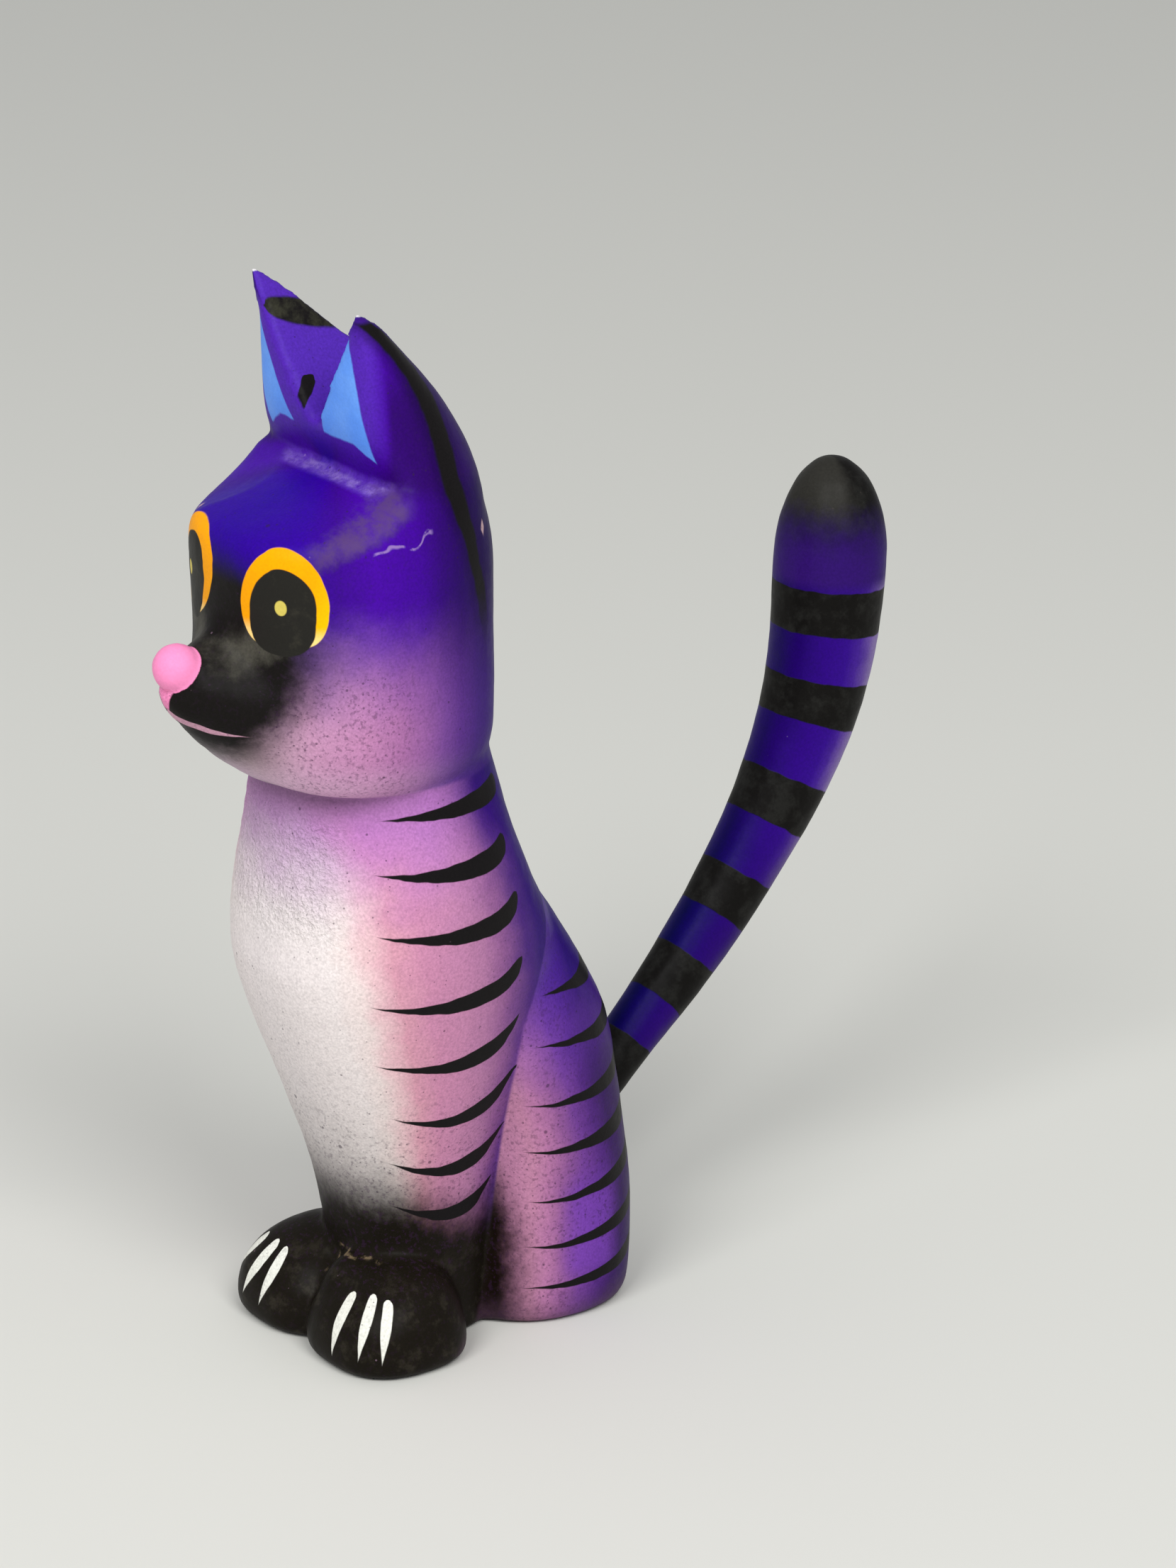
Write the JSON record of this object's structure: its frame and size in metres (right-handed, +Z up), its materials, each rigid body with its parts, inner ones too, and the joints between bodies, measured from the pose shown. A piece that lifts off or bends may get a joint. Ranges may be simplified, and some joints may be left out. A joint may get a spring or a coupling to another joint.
{
  "type": "papier-mache cat",
  "caption": "Sitting papier-mache cat ornament: upright ears, joined forepaws, rounded haunches and a tapered tail that curls up from the rump.",
  "frame": {"origin": "middle of the box round the whole figure, on its flat underside", "axes": "+Z up through the ears; the cat looks along -Y and its left side is +X"},
  "size_m": [0.0542, 0.1608, 0.198],
  "materials": {
    "painted_body": "satin",
    "painted_tail": "satin"
  },
  "bodies": {
    "root": {"cat_body": "painted_body", "tail": "painted_tail"}
  },
  "joints": []
}
